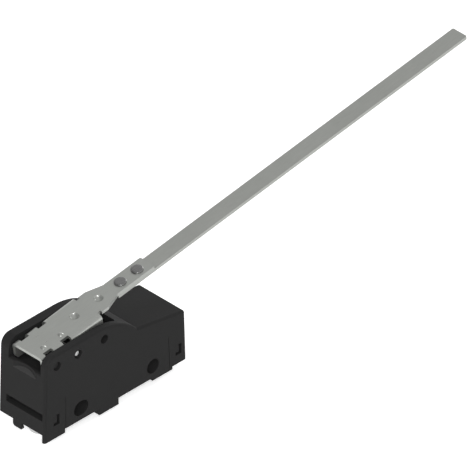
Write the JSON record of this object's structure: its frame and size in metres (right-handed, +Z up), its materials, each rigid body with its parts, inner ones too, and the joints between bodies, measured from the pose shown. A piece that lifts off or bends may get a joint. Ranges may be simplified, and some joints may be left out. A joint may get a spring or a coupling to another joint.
{
  "type": "micro switch",
  "caption": "Snap-acting switch in a black moulded housing, worked by a long flat hinge lever that presses a plunger; screw terminals below",
  "frame": {"origin": "axis of the round fixing hole, halfway through the housing's thickness", "axes": "+X along the lever towards its tip, -Y out of the cover side, +Z up from the terminals to the lever"},
  "size_m": [0.1563, 0.0164, 0.0478],
  "materials": {
    "housing": "black moulded, satin",
    "lever_sheet": "plated sheet, satin",
    "blade_steel": "spring strip, satin",
    "rivet_steel": "bright",
    "pin_steel": "ground",
    "screw_plating": "zinc plated",
    "terminal_brass": "satin",
    "arm_alloy": "satin",
    "contact_silver": "satin silver look",
    "spring_steel": "drawn wire",
    "plunger_plastic": "moulded",
    "bush_plastic": "black acetal"
  },
  "bodies": {
    "switch_body": {"case": "housing", "side_cover": "housing", "terminal_base": "housing", "common_terminal": "terminal_brass", "closed_terminal": "terminal_brass", "open_terminal": "terminal_brass", "common_screw": "screw_plating", "closed_screw": "screw_plating", "open_screw": "screw_plating", "common_clamp": "screw_plating", "closed_clamp": "screw_plating", "open_clamp": "screw_plating", "closed_contact": "contact_silver", "open_contact": "contact_silver", "arm_pin": "pin_steel", "return_spring": "spring_steel", "plunger_bush": "bush_plastic", "pivot_pin": "pin_steel"},
    "lever": {"lever_base": "lever_sheet", "lever_blade": "blade_steel", "inner_rivet": "rivet_steel", "outer_rivet": "rivet_steel"},
    "plunger": {"plunger": "plunger_plastic"},
    "contact_arm": {"contact_arm": "arm_alloy", "moving_contact": "contact_silver"}
  },
  "joints": [
    {"name": "lever_pivot", "type": "hinge", "parent": "switch_body", "child": "lever", "pos_m": [-0.0263, -0.00065, 0.017], "axis": [0, 1, 0], "range_deg": [0, 10], "stiffness_Nm_per_rad": 0.06, "springref_deg": -22.92},
    {"name": "plunger_slide", "type": "slide", "parent": "switch_body", "child": "plunger", "axis": [0, 0, 1], "range_m": [-0.00118, 0], "deforming": ["return_spring"]},
    {"name": "contact_arm_pivot", "type": "hinge", "parent": "switch_body", "child": "contact_arm", "pos_m": [-0.0087, -0.00065, 0.0061], "axis": [0, 1, 0], "range_deg": [-5.9, 0]}
  ],
  "couplings": [
    {"joint": "plunger_slide", "follows": "lever_pivot", "m_per_rad": -0.0065},
    {"joint": "contact_arm_pivot", "follows": "lever_pivot", "ratio": -0.58}
  ]
}
